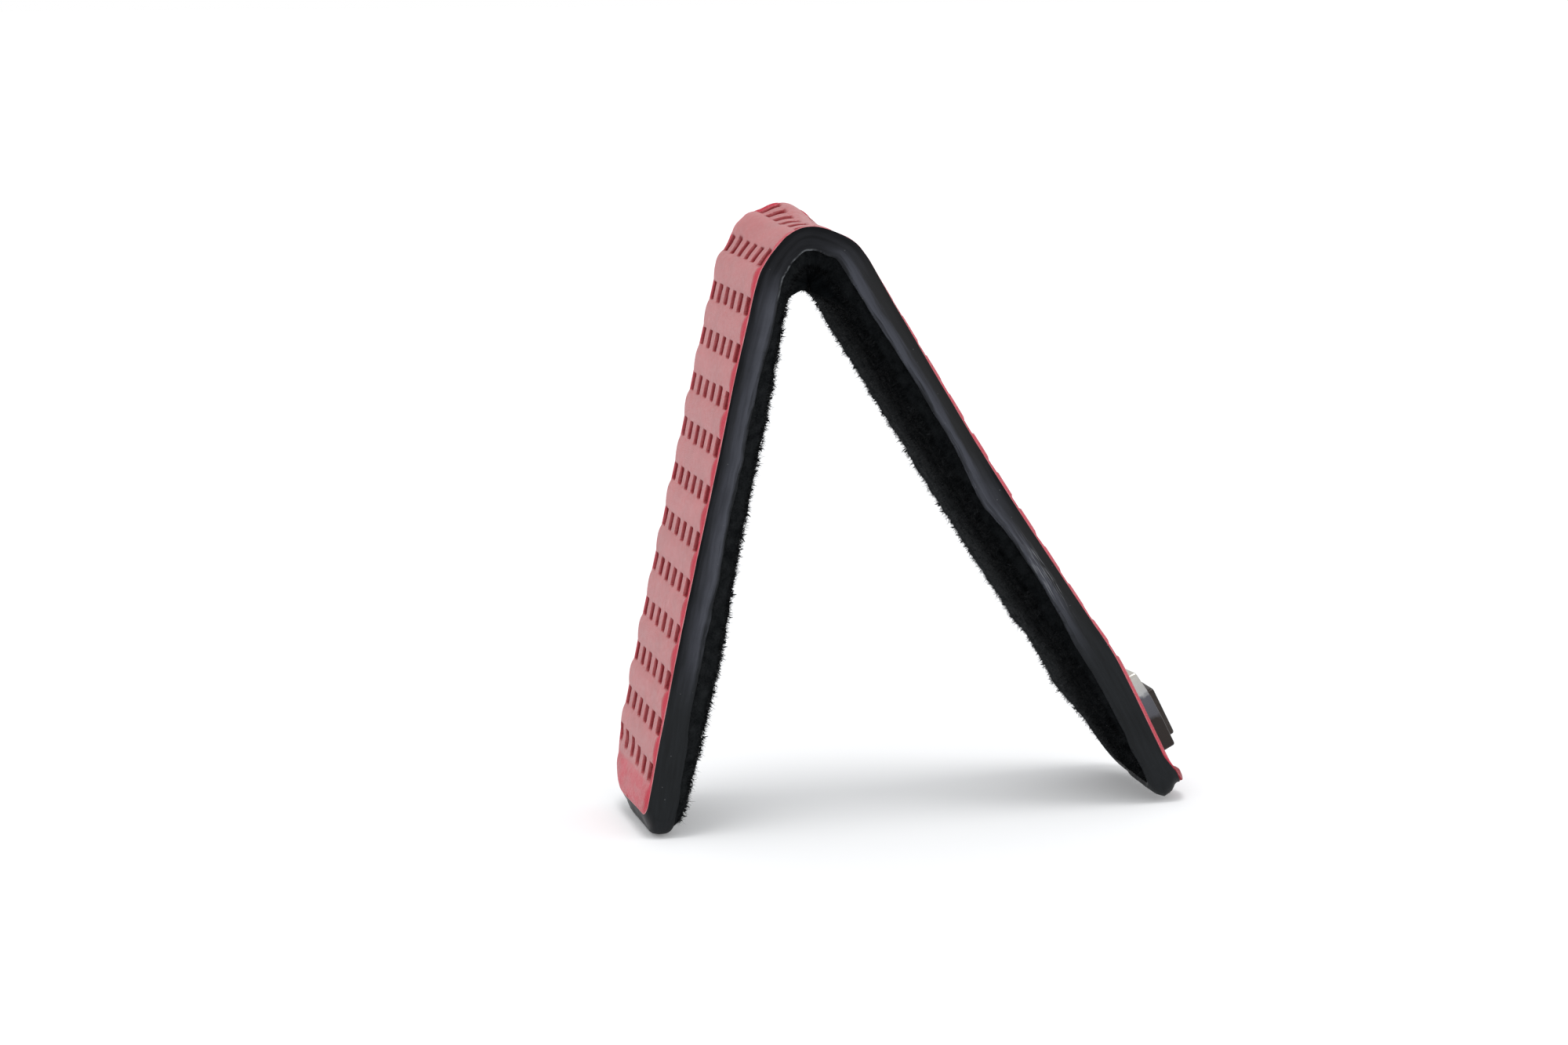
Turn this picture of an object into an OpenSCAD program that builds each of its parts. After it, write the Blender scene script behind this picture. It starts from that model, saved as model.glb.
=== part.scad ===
// Folded magnetic money clip: a leather strip standing open on the ends of its two arms.
// Millimetres. X runs across the open arms, Y along the fold, Z up from the floor.

/* [Strip] */
// Width of the strip over its edge coat
strip_w = 20; // [18:0.5:26]
// Thickness of the outer leather at the crest of its embossing
leather_t = 1.25; // [1.1:0.05:1.6]
// Thickness of the stiff board in the middle
core_t = 1.5; // [1.3:0.1:2]
// Thickness of the suede lining
lining_t = 2.05; // [1.6:0.05:2.4]
// Corner radius of the two ends on the near side
near_r = 2.2; // [2:0.1:4]
// Corner radius of the two ends on the far side
far_r = 7.5; // [6:0.5:8]
// Plain stretch of leather kept at the end of each arm
end_plain = 4; // [3:0.5:5]

/* [Arms] */
// Length of the front arm from the end of the curve to its tip
front_len = 68.6; // [60:0.2:80]
// Lean of the front arm from upright, in degrees
front_lean = 12; // [9:1:16]
// Lean of the back arm from upright, in degrees
back_lean = 33; // [28:1:36]
// Length of the back arm past its bend, where the badge sits
tip_len = 16.8; // [16.4:0.1:20]
// Length of the bend near the end of the back arm
bend_len = 8; // [6:0.5:10]
// Inward turn of the back arm at its bend, in degrees
bend_angle = 6; // [3:0.5:7]

/* [Fold] */
// Outer radius of the fold
fold_r = 7.2; // [6.8:0.1:8]
// Straight stretch of the fold leather past the curve, to the crest of its first band
fold_lead = 1.1; // [0.8:0.1:1.5]
// Extra thickness of the lining that bunches inside the fold
bunch = 0.7; // [0.3:0.1:0.9]

/* [Embossing] */
// Distance between two rows of pits along the strip
row_pitch = 5.75; // [5.5:0.05:6.5]
// Pits across the strip
columns = 6; // [4:1:6]
// Distance from the strip edge to the middle of the outer pits
edge_margin = 1.65; // [1.6:0.05:2.2]
// Height of the rounded bands over the rows
emboss_h = 0.3; // [0.15:0.05:0.4]
// Length of a pit along the strip
pit_l = 2.1; // [1.6:0.1:2.4]
// Width of a pit across the strip
pit_w = 1.4; // [1:0.1:1.6]
// Depth of a pit below the crest of the bands
pit_depth = 0.85; // [0.6:0.05:0.9]
// Flat lip between a pit and the bands beside it
pit_lip = 0.1; // [0.05:0.05:0.2]

/* [Edge coat] */
// Thickness of the painted edge at the crest of its bead
coat_t = 0.5; // [0.4:0.05:0.6]

/* [Magnets] */
// Diameter of the magnet discs
magnet_d = 10; // [8:0.5:12]
// Clearance between a magnet and its window, all round
magnet_gap = 0.1; // [0.05:0.05:0.2]
// Distance from the lower magnets to the bend of the back arm
magnet_rim = 1.5; // [1:0.1:2.5]
// Distance between the two magnets of an arm
magnet_pitch = 20; // [16:1:24]

/* [Badge] */
// Length of the badge along the arm
badge_l = 11.2; // [10.6:0.2:12]
// Width of the badge across the arm
badge_w = 16; // [14:0.5:16.5]
// Thickness of the lower step of the badge
badge_t = 1.4; // [1:0.1:1.6]
// Length of the raised step
top_l = 6.8; // [6:0.2:7.6]
// Width of the raised step
top_w = 14; // [12:0.5:15]
// Thickness of the raised step
top_t = 0.8; // [0.6:0.05:1]
// Distance from the end of the badge to the raised step
top_inset = 1; // [0.8:0.1:1.4]
// Bevel round the top edges of the badge
badge_bevel = 0.25; // [0.15:0.05:0.3]
// Distance from the badge to the end of the arm
badge_end = 3.9; // [3.5:0.1:4.5]
// Width of the two legs of the badge
leg_w = 2.4; // [2:0.2:3]
// Thickness of the legs
leg_t = 0.45; // [0.4:0.05:0.5]
// Length of the bent foot of each leg
leg_foot = 2; // [1.5:0.1:2.4]
// Thickness of the plate that the legs clamp
plate_t = 0.5; // [0.4:0.05:0.6]
// Distance from the edge of the badge to the plate, across the arm
plate_rim = 1; // [0.6:0.1:1.4]
// Clearance of the legs in their slots
slot_gap = 0.1; // [0.05:0.05:0.15]
// Clearance of the plate in its window
window_gap = 0.3; // [0.2:0.05:0.4]

/* [Hidden] */
$fn = 96;

// Depths of the layers below the crest of the leather
leather_in = leather_t;
core_in = leather_in + core_t;
lining_in = core_in + lining_t;
half_w = strip_w / 2;
layer_w = strip_w - 2 * coat_t;
over = 1;

// Outline of the standing clip
fold_turn = 180 - front_lean - back_lean;
fold_z = front_len * cos(front_lean) - (fold_r - lining_in) * sin(front_lean);
bend_r = bend_len / (bend_angle * PI / 180);
bend_reach = bend_r * tan(bend_angle / 2);
bend_steps = 8;
tip_lean = back_lean - bend_angle;
tip_drop = tip_len * cos(tip_lean) - (bend_r - lining_in) * sin(tip_lean);
back_run = (fold_z - tip_drop + (fold_r - bend_r) * sin(back_lean)) / cos(back_lean);
bend_x = (fold_r - bend_r) * cos(back_lean) + back_run * sin(back_lean);
badge_far = tip_len - badge_end;
left_x = -fold_r * cos(front_lean) - (front_len - coat_t) * sin(front_lean);
badge_x = badge_far * sin(tip_lean) + (badge_t + top_t) * cos(tip_lean);
end_x = (tip_len - coat_t) * sin(tip_lean);
right_x = bend_x + bend_r * cos(tip_lean) + max(badge_x - top_inset * sin(tip_lean), end_x);
fold_x = -(left_x + right_x) / 2;

// Embossing
col_pitch = (strip_w - 2 * edge_margin) / (columns - 1);
band_l = row_pitch - pit_l - 2 * pit_lip;
front_rows = floor((front_len - fold_lead - end_plain) / row_pitch);
back_len = back_run + bend_len + tip_len;
back_rows = floor((back_len - end_plain) / row_pitch);
back_pad = back_rows * row_pitch - back_run - bend_len;
arc_len = fold_r * fold_turn * PI / 180;
fold_rows = round((arc_len + fold_lead) / row_pitch);
fold_pitch = (arc_len + fold_lead) / fold_rows;
fold_band_l = fold_pitch - pit_l - 2 * pit_lip;
deg_per_mm = 180 / (PI * fold_r);
valley_r = fold_r - emboss_h;

// Bead of the edge coat, from the rows of the leather down to the lining
bead_h = core_in - emboss_h;
bead_r = (bead_h * bead_h / 4 + coat_t * coat_t) / (2 * coat_t);
bead_half_turn = asin(bead_h / 2 / bead_r);
bead_steps = 6;

// Fold lining
lining_r = fold_r - lining_in;
bunch_r = lining_r - bunch;
bunch_drop = (lining_r * lining_r - bunch_r * bunch_r) / (2 * (bunch_r - lining_r * cos(fold_turn / 2)));

// Magnets, at the same distances from the fold on both arms
lower_magnet = back_run - magnet_rim - magnet_gap - magnet_d / 2;
upper_magnet = lower_magnet - magnet_pitch;

// Badge
badge_mid = badge_far - badge_l / 2;
top_mid = badge_far - top_inset - top_l / 2;
leg_at = badge_l / 2 - leg_t - window_gap;
plate_l = 2 * leg_at + 3 * leg_t;
plate_w = badge_w - 2 * plate_rim;
window_l = plate_l + 2 * window_gap;
window_w = plate_w + 2 * window_gap;
foot_in = leather_in + plate_t + leg_t;
seat_rim = 0.6;

// Places of the arms and the fold
module front_place()
    translate([fold_x, 0, fold_z])
        mirror([1, 0, 0])
            rotate([0, 90 - front_lean, 0])
                translate([0, 0, fold_r])
                    children();

module back_place()
    translate([fold_x, 0, fold_z])
        rotate([0, 90 - back_lean, 0])
            translate([0, 0, fold_r])
                children();

module tip_place()
    translate([back_run, 0, -bend_r])
        rotate([0, bend_angle, 0])
            translate([0, 0, bend_r])
                children();

module fold_place()
    translate([fold_x, 0, fold_z])
        rotate([90, 0, 0])
            children();

// A point on the outer face of the back arm, at a distance from the fold
module back_station(s) {
    turned = min(max(s - back_run, 0), bend_len) / bend_len * bend_angle;
    along = s <= back_run ? s : max(s - bend_len, back_run);
    translate([back_run, 0, -bend_r])
        rotate([0, turned, 0])
            translate([along - back_run, 0, bend_r])
                children();
}

// Corner radius of an end: side 0 is the far one, side 1 its mirror image
function end_r(side) = side == 0 ? far_r : near_r;

// Outline of an end with two round corners
module end_outline(length, inset) {
    w = strip_w - 2 * inset;
    reach = length - inset;
    translate([0, near_r - inset - w / 2])
        square([reach, strip_w - near_r - far_r]);
    for (side = [0, 1])
        mirror([0, side]) {
            r = end_r(side) - inset;
            square([reach - r, w / 2]);
            translate([reach - r, w / 2 - r])
                circle(r);
        }
}

// A layer between two depths of an arm
module end_slab(length, inset, top, bottom)
    translate([0, 0, -bottom])
        linear_extrude(bottom - top)
            end_outline(length, inset);

// The bend runs in short straight steps
function bend_point(depth, turned) =
    [back_run + (bend_r - depth) * sin(turned), (bend_r - depth) * cos(turned) - bend_r];

function back_edge(depth, inset) = [
    [0, -depth],
    for (k = [0:bend_steps])
        bend_point(depth, bend_angle * k / bend_steps),
    bend_point(depth, bend_angle) + (tip_len - inset) * [cos(bend_angle), -sin(bend_angle)]
];

function backwards(list) = [for (i = [len(list) - 1:-1:0]) list[i]];

module back_slab(width, inset, top, bottom)
    rotate([90, 0, 0])
        linear_extrude(width, center = true)
            polygon(concat(back_edge(top, inset), backwards(back_edge(bottom, inset))));

// What the round corners of the back arm leave out
module back_corners(inset)
    tip_place()
        for (side = [0, 1])
            mirror([0, side, 0])
                translate([tip_len - end_r(side), half_w - end_r(side), -lining_in - over])
                    linear_extrude(lining_in + 2 * over)
                        difference() {
                            square(end_r(side) + over);
                            circle(end_r(side) - inset);
                        }

// Part of a flat ring, from one angle over a turn
module ring_sector(outer, inner, start, turn)
    intersection() {
        difference() {
            circle(outer);
            circle(inner);
        }
        sector(2 * outer, start, turn);
    }

module sector(reach, start, turn)
    polygon([
        [0, 0],
        reach * [cos(start), sin(start)],
        reach * [cos(start + turn / 2), sin(start + turn / 2)] / cos(turn / 2),
        reach * [cos(start + turn), sin(start + turn)]
    ]);

// Embossing of the leather
module band_section(length) {
    r = (length * length / 4 + emboss_h * emboss_h) / (2 * emboss_h);
    intersection() {
        translate([0, -r])
            circle(r);
        translate([-length / 2 - emboss_h, -leather_t / 2])
            square([length + 2 * emboss_h, leather_t / 2]);
    }
}

module band()
    rotate([90, 0, 0])
        linear_extrude(strip_w + over, center = true)
            band_section(band_l);

function column_y(c) = c * col_pitch - half_w + edge_margin;

module pit(c)
    translate([-pit_l / 2, column_y(c) - pit_w / 2, -pit_depth])
        cube([pit_l, pit_w, pit_depth + over]);

// Bead of the edge coat
module bead_section()
    polygon([
        [0, -core_in],
        for (k = [1:bead_steps - 1])
            let (a = (2 * k / bead_steps - 1) * bead_half_turn)
            [coat_t - bead_r + bead_r * cos(a), -emboss_h - bead_h / 2 + bead_r * sin(a)],
        [0, -emboss_h]
    ]);

module side_bead(start, end)
    translate([start, half_w - coat_t, 0])
        rotate([90, 0, 90])
            linear_extrude(end - start)
                bead_section();

module end_bead(start, length) {
    for (side = [0, 1])
        mirror([0, side, 0]) {
            side_bead(start, length - end_r(side));
            translate([length - end_r(side), half_w - end_r(side), 0])
                rotate_extrude(angle = 90)
                    translate([end_r(side) - coat_t, 0])
                        bead_section();
        }
    translate([length - coat_t, half_w - far_r, 0])
        rotate([90, 0, 0])
            linear_extrude(strip_w - near_r - far_r)
                bead_section();
}

// Bead on the far side of a turn about the Y axis
module turn_bead(radius, start, turn)
    rotate([90, 0, 0])
        rotate([0, 0, start])
            rotate_extrude(angle = turn)
                translate([radius, coat_t - half_w])
                    mirror([0, 1])
                        mirror([1, -1])
                            bead_section();

// Front arm
module front_row(row)
    translate([fold_lead + row * row_pitch, 0, 0])
        children();

module front_leather()
    color("#9e1b2b")
        front_place()
            difference() {
                intersection() {
                    end_slab(front_len, coat_t, -over, leather_in);
                    union() {
                        end_slab(front_len, coat_t, emboss_h, leather_in);
                        for (row = [0:front_rows])
                            front_row(row)
                                band();
                        front_row(front_rows)
                            translate([0, -half_w, -leather_t / 2])
                                cube([front_len, strip_w, leather_t / 2]);
                    }
                }
                translate([fold_lead - row_pitch, -half_w, -leather_in - over])
                    cube([row_pitch, strip_w, leather_in + 2 * over]);
                for (row = [0:front_rows - 1], c = [0:columns - 1])
                    front_row(row + 0.5)
                        pit(c);
            }

module front_core()
    color("#6b5a48")
        front_place()
            difference() {
                end_slab(front_len, coat_t, leather_in, core_in);
                for (s = [upper_magnet, lower_magnet])
                    translate([s, 0, -core_in - over])
                        cylinder(h = core_t + 2 * over, d = magnet_d + 2 * magnet_gap);
            }

module front_magnet(s)
    color("#b9bdc2")
        front_place()
            translate([s, 0, -core_in])
                cylinder(h = core_t, d = magnet_d);

module front_upper_magnet()
    front_magnet(upper_magnet);

module front_lower_magnet()
    front_magnet(lower_magnet);

module front_lining()
    color("#15171a")
        front_place()
            end_slab(front_len, 0, core_in, lining_in);

module front_edge_coat()
    color("#26282c")
        front_place()
            end_bead(0, front_len);

// Fold
module lead_layer(top, bottom)
    rotate(180 - front_lean)
        translate([fold_r - bottom, 0])
            square([bottom - top, fold_lead]);

module fold_layer(top, bottom)
    ring_sector(fold_r - top, fold_r - bottom, back_lean, fold_turn);

// A band on the curve meets the rows on both sides of it
module fold_band(at) {
    half_turn = fold_band_l / 2 * deg_per_mm;
    root_turn = half_turn + emboss_h * deg_per_mm;
    shift = (fold_r * fold_r - valley_r * valley_r) / (2 * (fold_r - valley_r * cos(half_turn)));
    intersection() {
        rotate(at)
            translate([shift, 0])
                circle(fold_r - shift);
        ring_sector(fold_r + over, fold_r - leather_t / 2, at - root_turn, 2 * root_turn);
        sector(2 * fold_r, back_lean, fold_turn);
    }
}

module fold_lead_band()
    intersection() {
        rotate(180 - front_lean)
            translate([fold_r, fold_lead])
                rotate(-90)
                    band_section(fold_band_l);
        rotate(180 - front_lean)
            translate([0, -fold_lead])
                square([fold_r, 2 * fold_lead]);
    }

function fold_angle(at) = 180 - front_lean - (at - fold_lead) * deg_per_mm;

module fold_leather()
    color("#9e1b2b")
        difference() {
            fold_place()
                linear_extrude(layer_w, center = true) {
                    fold_layer(emboss_h, leather_in);
                    lead_layer(emboss_h, leather_in);
                    fold_lead_band();
                    for (k = [1:fold_rows])
                        fold_band(fold_angle(k * fold_pitch));
                }
            for (k = [0:fold_rows - 1], c = [0:columns - 1])
                translate([fold_x, 0, fold_z])
                    rotate([0, 90 - fold_angle((k + 0.5) * fold_pitch), 0])
                        translate([0, 0, fold_r])
                            pit(c);
        }

module fold_filler()
    color("#6b5a48")
        fold_place()
            linear_extrude(layer_w, center = true)
                fold_layer(leather_in, core_in);

module fold_lining()
    color("#15171a")
        fold_place()
            linear_extrude(strip_w, center = true)
                intersection() {
                    difference() {
                        circle(fold_r - core_in);
                        rotate((180 - front_lean + back_lean) / 2)
                            translate([-bunch_drop, 0])
                                circle(bunch_r + bunch_drop);
                    }
                    sector(2 * fold_r, back_lean, fold_turn);
                }

// The far bead; its mirror image is the near one
module fold_bead()
    translate([fold_x, 0, fold_z])
        turn_bead(fold_r, back_lean, fold_turn);

module fold_edge_coat_near()
    color("#26282c")
        mirror([0, 1, 0])
            fold_bead();

module fold_edge_coat_far()
    color("#26282c")
        fold_bead();

// Back arm
module badge_seat()
    translate([badge_mid - badge_l / 2 - seat_rim, -badge_w / 2 - seat_rim, -leather_t / 2])
        cube([badge_l + 2 * seat_rim, badge_w + 2 * seat_rim, leather_t / 2]);

function under_badge(s, c) =
    s - back_run - bend_len > badge_mid - badge_l / 2 - seat_rim - pit_l
    && abs(column_y(c)) < badge_w / 2 + seat_rim + pit_w / 2;

module leg_slots(gap, top, bottom)
    for (end = [-1, 1])
        translate([badge_mid + end * leg_at - leg_t / 2 - gap, -leg_w / 2 - gap, -bottom])
            cube([leg_t + 2 * gap, leg_w + 2 * gap, bottom - top]);

module back_leather()
    color("#9e1b2b")
        back_place()
            difference() {
                intersection() {
                    translate([0, -layer_w / 2, -back_len])
                        cube([2 * back_len, layer_w, back_len + over]);
                    union() {
                        back_slab(strip_w, coat_t, emboss_h, leather_in);
                        for (row = [0:back_rows])
                            back_station(row * row_pitch)
                                band();
                        tip_place() {
                            badge_seat();
                            translate([back_pad, -half_w, -leather_t / 2])
                                cube([tip_len - coat_t - back_pad, strip_w, leather_t / 2]);
                        }
                    }
                }
                back_corners(coat_t);
                for (row = [0:back_rows - 1], c = [0:columns - 1])
                    if (!under_badge((row + 0.5) * row_pitch, c))
                        back_station((row + 0.5) * row_pitch)
                            pit(c);
                tip_place()
                    leg_slots(slot_gap, -over, leather_in + over);
            }

module back_core()
    color("#6b5a48")
        back_place()
            difference() {
                back_slab(layer_w, coat_t, leather_in, core_in);
                back_corners(coat_t);
                for (s = [upper_magnet, lower_magnet])
                    translate([s, 0, -core_in - over])
                        cylinder(h = core_t + 2 * over, d = magnet_d + 2 * magnet_gap);
                tip_place()
                    translate([badge_mid - window_l / 2, -window_w / 2, -core_in - over])
                        cube([window_l, window_w, core_t + 2 * over]);
            }

module back_magnet(s)
    color("#b9bdc2")
        back_place()
            translate([s, 0, -core_in])
                cylinder(h = core_t, d = magnet_d);

module back_upper_magnet()
    back_magnet(upper_magnet);

module back_lower_magnet()
    back_magnet(lower_magnet);

module back_lining()
    color("#15171a")
        back_place()
            difference() {
                back_slab(strip_w, 0, core_in, lining_in);
                back_corners(0);
            }

// The space on one side of the plane that halves the bend
module past_bend(side)
    translate([back_run, 0, -bend_r])
        rotate([0, bend_angle / 2, 0])
            mirror([side, 0, 0])
                translate([0, -strip_w, bend_r - lining_in])
                    cube([bend_reach, 2 * strip_w, 2 * lining_in]);

// The bead meets itself at a mitre in the middle of the bend
module back_edge_coat()
    color("#26282c")
        back_place() {
            difference() {
                for (side = [0, 1])
                    mirror([0, side, 0])
                        side_bead(0, back_run + bend_reach);
                past_bend(0);
            }
            difference() {
                tip_place()
                    end_bead(-bend_reach, tip_len);
                past_bend(1);
            }
        }

// A plate with its top edges bevelled
module bevelled_plate(length, width, thick) {
    inner = [length - 2 * badge_bevel, width - 2 * badge_bevel];
    rotate([90, 0, 0])
        linear_extrude(inner[1], center = true)
            bevel_profile(length, thick);
    rotate([90, 0, 90])
        linear_extrude(inner[0], center = true)
            bevel_profile(width, thick);
}

module bevel_profile(length, thick)
    polygon([
        [-length / 2, 0],
        [length / 2, 0],
        [length / 2, thick - badge_bevel],
        [length / 2 - badge_bevel, thick],
        [badge_bevel - length / 2, thick],
        [-length / 2, thick - badge_bevel]
    ]);

module badge_base()
    color("#8b8f96")
        back_place()
            tip_place() {
                translate([badge_mid, 0, 0])
                    bevelled_plate(badge_l, badge_w, badge_t);
                leg_slots(0, -badge_t / 2, foot_in);
                for (end = [0, 1])
                    translate([badge_mid, 0, 0])
                        mirror([end, 0, 0])
                            translate([leg_at - leg_foot, -leg_w / 2, -foot_in])
                                cube([leg_foot, leg_w, leg_t]);
            }

module badge_top()
    color("#33363b")
        back_place()
            tip_place()
                translate([top_mid, 0, badge_t])
                    bevelled_plate(top_l, top_w, top_t);

module badge_plate()
    color("#a5a9ae")
        back_place()
            tip_place()
                difference() {
                    translate([badge_mid - plate_l / 2, -plate_w / 2, -leather_in - plate_t])
                        cube([plate_l, plate_w, plate_t]);
                    leg_slots(slot_gap, leather_in - over, leather_in + plate_t + over);
                }

front_leather();
front_core();
front_upper_magnet();
front_lower_magnet();
front_lining();
front_edge_coat();
fold_leather();
fold_filler();
fold_lining();
fold_edge_coat_near();
fold_edge_coat_far();
back_leather();
back_core();
back_upper_magnet();
back_lower_magnet();
back_lining();
back_edge_coat();
badge_base();
badge_top();
badge_plate();
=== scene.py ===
import math

import bmesh
import bpy
import numpy as np
from mathutils import Matrix, Vector

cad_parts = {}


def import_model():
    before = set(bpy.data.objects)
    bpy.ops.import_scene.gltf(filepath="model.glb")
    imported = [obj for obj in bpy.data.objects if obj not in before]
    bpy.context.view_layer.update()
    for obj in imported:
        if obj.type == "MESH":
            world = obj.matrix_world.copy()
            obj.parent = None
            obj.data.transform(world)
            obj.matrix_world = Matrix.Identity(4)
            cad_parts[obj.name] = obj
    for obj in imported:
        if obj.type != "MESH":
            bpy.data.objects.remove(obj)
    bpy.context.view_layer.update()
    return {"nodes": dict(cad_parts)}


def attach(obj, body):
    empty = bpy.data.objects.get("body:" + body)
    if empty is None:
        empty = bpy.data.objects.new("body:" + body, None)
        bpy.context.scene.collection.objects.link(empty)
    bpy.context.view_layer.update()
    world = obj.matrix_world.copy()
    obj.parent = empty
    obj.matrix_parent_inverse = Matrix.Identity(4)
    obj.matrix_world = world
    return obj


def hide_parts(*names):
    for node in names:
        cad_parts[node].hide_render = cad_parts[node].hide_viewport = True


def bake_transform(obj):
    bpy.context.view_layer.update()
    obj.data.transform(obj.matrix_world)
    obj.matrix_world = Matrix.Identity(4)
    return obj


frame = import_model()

# Millimetres in this script, metres in the scene.
MM = 0.001

# Sizes of the clip, the same as in the part's source.
HALF_W = 10.0
THICKNESS = 4.8
COAT_T = 0.5
CORNER_NEAR, CORNER_FAR = 2.2, 7.5
FRONT_LEN, FOLD_R, BEND_LEN, TIP_LEN = 68.6, 7.2, 8.0, 16.8
FRONT_LEAN, BACK_LEAN, BEND = (math.radians(a) for a in (12, 33, 6))
BADGE_L, BADGE_W, BADGE_T, BADGE_END = 11.2, 16.0, 1.4, 3.9
TOP_L, TOP_W, TOP_T, TOP_INSET = 6.8, 14.0, 0.8, 1.0

# Path that follows from these sizes: both ends stand on the floor, as far left as right of x = 0.
TURN = math.pi - FRONT_LEAN - BACK_LEAN
TIP_LEAN = BACK_LEAN - BEND
BEND_R = BEND_LEN / BEND
BADGE_FAR = TIP_LEN - BADGE_END
FOLD_Z = FRONT_LEN * math.cos(FRONT_LEAN) - (FOLD_R - THICKNESS) * math.sin(FRONT_LEAN)
TIP_DROP = TIP_LEN * math.cos(TIP_LEAN) - (BEND_R - THICKNESS) * math.sin(TIP_LEAN)
BACK_RUN = (FOLD_Z - TIP_DROP + (FOLD_R - BEND_R) * math.sin(BACK_LEAN)) / math.cos(BACK_LEAN)
LEFT_X = -FOLD_R * math.cos(FRONT_LEAN) - (FRONT_LEN - COAT_T) * math.sin(FRONT_LEAN)
BEND_X = (FOLD_R - BEND_R) * math.cos(BACK_LEAN) + BACK_RUN * math.sin(BACK_LEAN)
RIGHT_X = BEND_X + BEND_R * math.cos(TIP_LEAN) + (TIP_LEN - COAT_T) * math.sin(TIP_LEAN)
FOLD_X = -(LEFT_X + RIGHT_X) / 2
FOLD_AT = np.array([FOLD_X, FOLD_Z])

# Places along the strip, from its front end.
FOLD_FROM = FRONT_LEN
FOLD_TO = FOLD_FROM + FOLD_R * TURN
FOLD_MID = (FOLD_FROM + FOLD_TO) / 2
BEND_FROM = FOLD_TO + BACK_RUN
TIP_FROM = BEND_FROM + BEND_LEN
STRIP_LEN = TIP_FROM + TIP_LEN

# How far the real strip has set off this path: place along it, and distance outward.
BOW = [
    (0, 0.05), (10, 0.32), (25, 0.42), (45, 0.2), (56, 0.2), (64, 0), (66, 0), (68.6, -0.14), (70.2, -0.5),
    (72.1, -0.74), (74, -0.7), (75.9, -0.32), (77.8, -0.08), (79.7, -0.2), (81.5, -0.38), (83.2, -0.05),
    (84.7, 0.3), (87.5, 0.42), (92, 0.42), (98, 0.36), (104, 0.24), (112, 0.06), (120, 0.02), (126, 0.03),
    (130, 0.09), (134, 0.13), (138, 0.18), (141.5, 0.25), (144.5, 0.55), (147.5, 0.76), (152, 0.8),
    (158, 0.76), (166, 0.7),
]
BOW_STEP, BOW_ROUNDING, BOW_REACH = 0.1, 1.1, 4.0
BOW_FROM, BOW_TO = -6.0, 172.0

# How far the strip's far side stands out at the fold.
FAR_LIFT = 1.15

# Length of strip that one unit of a texture covers.
UV_SIZE = 10.0


def unit(a):
    """Direction at an angle, in XZ."""
    return np.stack([np.cos(a), np.sin(a)], -1)


FRONT_DOWN = unit(-math.pi / 2 - FRONT_LEAN)
BACK_DOWN = unit(BACK_LEAN - math.pi / 2)
TIP_OUT, TIP_DOWN = unit(TIP_LEAN), unit(TIP_LEAN - math.pi / 2)


def smooth(x):
    """Soft step from 0 to 1."""
    x = np.clip(x, 0, 1)
    return x * x * (3 - 2 * x)


def lookup(table, at):
    """Value at a place, from a table of places and values."""
    places, values = zip(*table)
    return np.interp(at, places, values)


def rounded_bow():
    """The strip's set at even steps, with the corners of its table rounded off."""
    at = np.linspace(BOW_FROM, BOW_TO, round((BOW_TO - BOW_FROM) / BOW_STEP) + 1)
    reach = round(BOW_REACH / BOW_STEP)
    kernel = np.exp(-0.5 * (np.arange(-reach, reach + 1) * BOW_STEP / BOW_ROUNDING) ** 2)
    padded = np.pad(lookup(BOW, at), reach, mode="edge")
    return at, np.convolve(padded, kernel / kernel.sum(), mode="valid")


BOW_AT, BOW_OUT = rounded_bow()


def bow(u):
    return np.interp(u, BOW_AT, BOW_OUT)


def fold_lift(u):
    """Where along the fold the far side stands out, as a share."""
    return (0.42 * smooth((u - 70.5) / 3) + 0.58 * smooth((u - 77) / 2.5)) * smooth((86 - u) / 4)


def spine(u):
    """Points on the outer face along the strip and its outward normals, in XZ."""
    in_fold = np.clip((u - FOLD_FROM) / FOLD_R, 0, TURN)
    in_bend = np.clip((u - BEND_FROM) / BEND_R, 0, BEND)
    fold_out = unit(math.pi - FRONT_LEAN - in_fold)
    out = unit(math.pi - FRONT_LEAN - in_fold - in_bend)
    base = FOLD_AT + FOLD_R * fold_out + BEND_R * (out - fold_out)
    base += np.outer(np.maximum(FOLD_FROM - u, 0), FRONT_DOWN)
    base += np.outer(np.clip(u - FOLD_TO, 0, BACK_RUN), BACK_DOWN)
    base += np.outer(np.maximum(u - TIP_FROM, 0), TIP_DOWN)
    return base, out


def place(u, y, h):
    """Strip coordinates to metres: along the strip, across it, and out from its outer face."""
    base, out = spine(u)
    twist = FAR_LIFT * smooth((y + 2) / 12) * fold_lift(u)
    at = base + out * (h + bow(u) + twist)[:, None]
    return np.stack([at[:, 0], y, at[:, 1]], -1) * MM


def value_noise(x, y, seed):
    """Smooth repeatable noise in -1..1 with three octaves, its coarsest cells one unit wide."""
    table = np.random.default_rng(seed).uniform(-1, 1, (256, 256))
    total, gain, size = 0.0, 1.0, 0.0
    for octave in range(3):
        fx, fy = x * 2**octave + 17.3 * octave, y * 2**octave + 9.1 * octave
        ix, iy = np.floor(fx).astype(int), np.floor(fy).astype(int)
        tx, ty = smooth(fx - ix), smooth(fy - iy)
        a, b = table[ix % 256, iy % 256], table[(ix + 1) % 256, iy % 256]
        c, d = table[ix % 256, (iy + 1) % 256], table[(ix + 1) % 256, (iy + 1) % 256]
        total = total + gain * ((a * (1 - tx) + b * tx) * (1 - ty) + (c * (1 - tx) + d * tx) * ty)
        size += gain
        gain *= 0.5
    return total / size


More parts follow.
